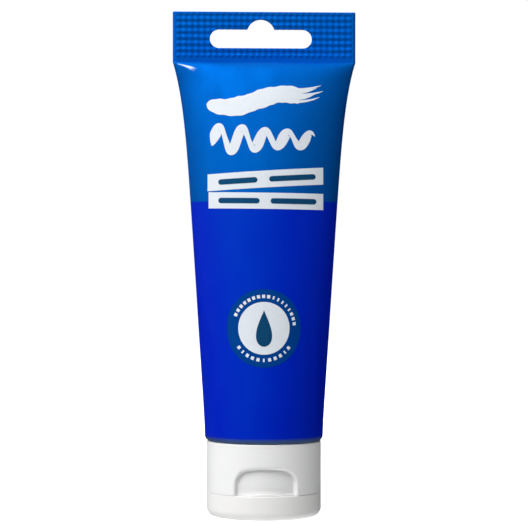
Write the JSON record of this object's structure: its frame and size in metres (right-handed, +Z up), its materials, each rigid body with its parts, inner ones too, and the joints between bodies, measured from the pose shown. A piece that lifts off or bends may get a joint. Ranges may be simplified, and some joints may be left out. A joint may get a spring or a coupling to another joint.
{
  "type": "paint tube",
  "caption": "Soft squeeze tube of acrylic paint with a crimped tail and hang slot, standing on a white flip-top screw cap.",
  "frame": {"origin": "centre of the lid's flat face, on which the tube stands", "axes": "+Z up from the cap to the crimped tail, -Y the front with the print and the thumb recess, +X to the viewer's right"},
  "size_m": [0.0544, 0.035, 0.1496],
  "materials": {
    "printed_film": "satin",
    "shoulder_plastic": "satin",
    "foil": "satin",
    "paint": "gloss",
    "seal_foam": "matte",
    "cap_plastic": "satin",
    "lid_plastic": "satin"
  },
  "bodies": {
    "tube": {"tube_sleeve": "printed_film", "tube_shoulder": "shoulder_plastic", "foil_membrane": "foil", "paint_fill": "paint"},
    "seal": {"sealing_ring": "seal_foam"},
    "cap": {"cap_base": "cap_plastic", "film_hinge_left": "cap_plastic", "film_hinge_right": "cap_plastic", "hinge_spring_strap": "cap_plastic"},
    "lid": {"cap_lid": "lid_plastic"}
  },
  "joints": [
    {"name": "cap_rise", "type": "slide", "parent": "tube", "child": "seal", "axis": [0, 0, -1], "range_m": [0, 0.005]},
    {"name": "cap_turn", "type": "hinge", "parent": "seal", "child": "cap", "pos_m": [0, 0, 0.0137], "axis": [0, 0, -1], "range_deg": [0, 720]},
    {"name": "lid_hinge", "type": "hinge", "parent": "cap", "child": "lid", "pos_m": [0, 0.0152, 0.00725], "axis": [1, 0, 0], "range_deg": [0, 150], "deforming": ["film_hinge_left", "film_hinge_right", "hinge_spring_strap"]}
  ],
  "couplings": [
    {"joint": "cap_rise", "follows": "cap_turn", "m_per_rad": 0.00039789}
  ]
}
